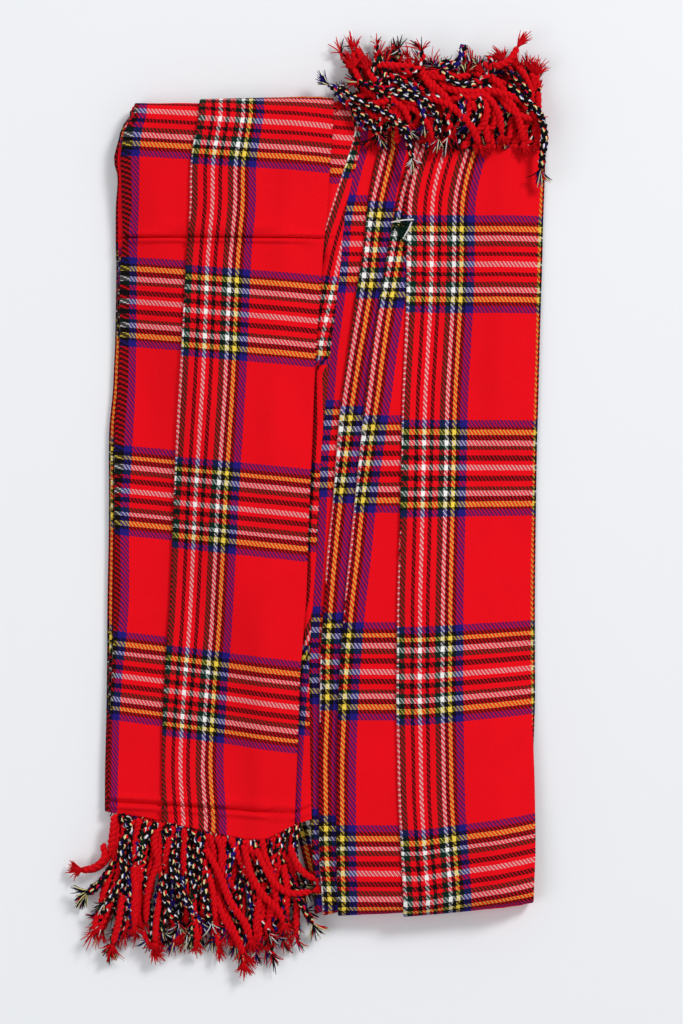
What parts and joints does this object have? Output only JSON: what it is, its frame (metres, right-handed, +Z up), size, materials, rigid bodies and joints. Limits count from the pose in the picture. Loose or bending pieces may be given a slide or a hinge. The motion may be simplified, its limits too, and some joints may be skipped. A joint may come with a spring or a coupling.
{
  "type": "fly plaid",
  "caption": "Red tartan fly plaid, pleated lengthwise, folded end over end and laid flat, with twisted fringe at both ends.",
  "frame": {"origin": "centre of the whole outline, on the surface the plaid lies on", "axes": "+Z up from the surface, +Y along the panels towards the end where the right panel's fringe lies, +X to the right as seen from above"},
  "size_m": [0.287, 0.557, 0.0238],
  "materials": {
    "tartan": "woven twill, red with white, yellow, blue, green and black stripes",
    "cords": "twisted yarn, red with mixed stripe colours"
  },
  "bodies": {
    "root": {"cloth": "tartan", "fringe_upper": "cords", "fringe_lower": "cords"}
  },
  "joints": []
}
